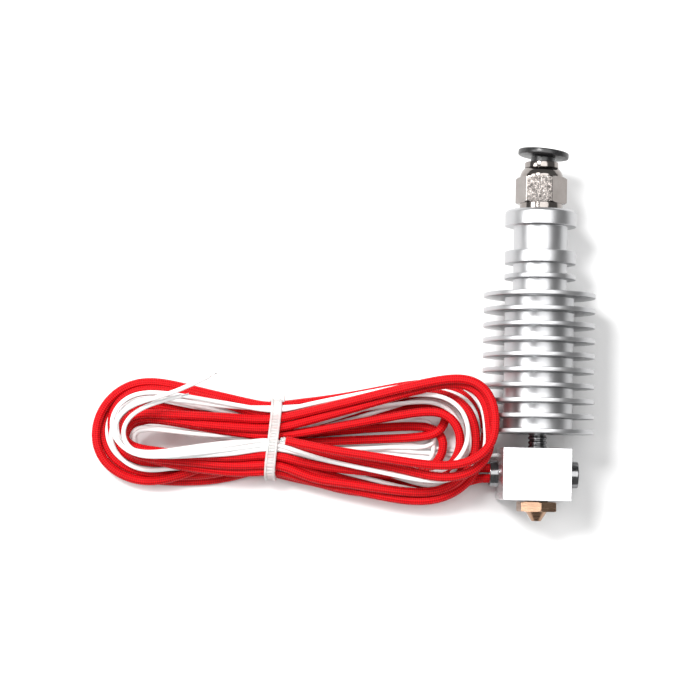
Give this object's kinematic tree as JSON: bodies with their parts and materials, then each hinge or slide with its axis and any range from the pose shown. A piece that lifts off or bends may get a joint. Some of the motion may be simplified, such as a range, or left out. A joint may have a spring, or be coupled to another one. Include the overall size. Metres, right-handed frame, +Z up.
{
  "type": "3d printer hotend",
  "caption": "Groove-mount printer hotend lying on its side: finned heat sink, push-fit tube coupler with release ring, heater block, nozzle and leads tied in a hank.",
  "frame": {"origin": "on the surface that the hotend lies on, under the middle of the hotend's box (the leads, their hank and its tie left out)", "axes": "+Z is up, +Y runs along the hotend from the nozzle to the tube coupler, +X is the side away from the lead hank"},
  "size_m": [0.1135, 0.0832, 0.025],
  "materials": {
    "blasted_aluminium": "satin, bead blasted",
    "milled_aluminium": "fine milled",
    "nickel_plate": "bright nickel plate",
    "steel": "polished",
    "brass": "turned",
    "black_plastic": "semi-gloss moulded",
    "black_rubber": "matt",
    "ceramic": "matt",
    "bead_glass": "glossy",
    "red_sleeve": "woven glass-fibre sleeve",
    "white_sleeve": "smooth insulation",
    "tinned_wire": "tinned copper strand",
    "nylon": "natural translucent nylon"
  },
  "bodies": {
    "hotend": {"heat_sink": "blasted_aluminium", "coupler_body": "nickel_plate", "coupler_o_ring": "black_rubber", "collet_claws": "steel", "coupler_sleeve": "nickel_plate", "heat_break": "steel", "heater_block": "milled_aluminium", "block_set_screw": "steel", "nozzle": "brass", "cartridge_sheath": "steel", "cartridge_core": "ceramic", "cartridge_seal": "ceramic", "thermistor_bead": "bead_glass", "heater_lead_1": "red_sleeve", "heater_lead_2": "red_sleeve", "thermistor_lead_1": "white_sleeve", "thermistor_lead_2": "white_sleeve", "heater_lead_tail": "red_sleeve", "thermistor_lead_tail": "white_sleeve", "heater_wire_end": "tinned_wire", "thermistor_wire_end": "tinned_wire", "lead_hank": "red_sleeve", "cable_tie": "nylon"},
    "release_collet": {"release_ring": "black_plastic"}
  },
  "joints": [
    {"name": "release_ring_press", "type": "slide", "parent": "hotend", "child": "release_collet", "axis": [0, -1, 0], "range_m": [0, 0.0008]}
  ]
}
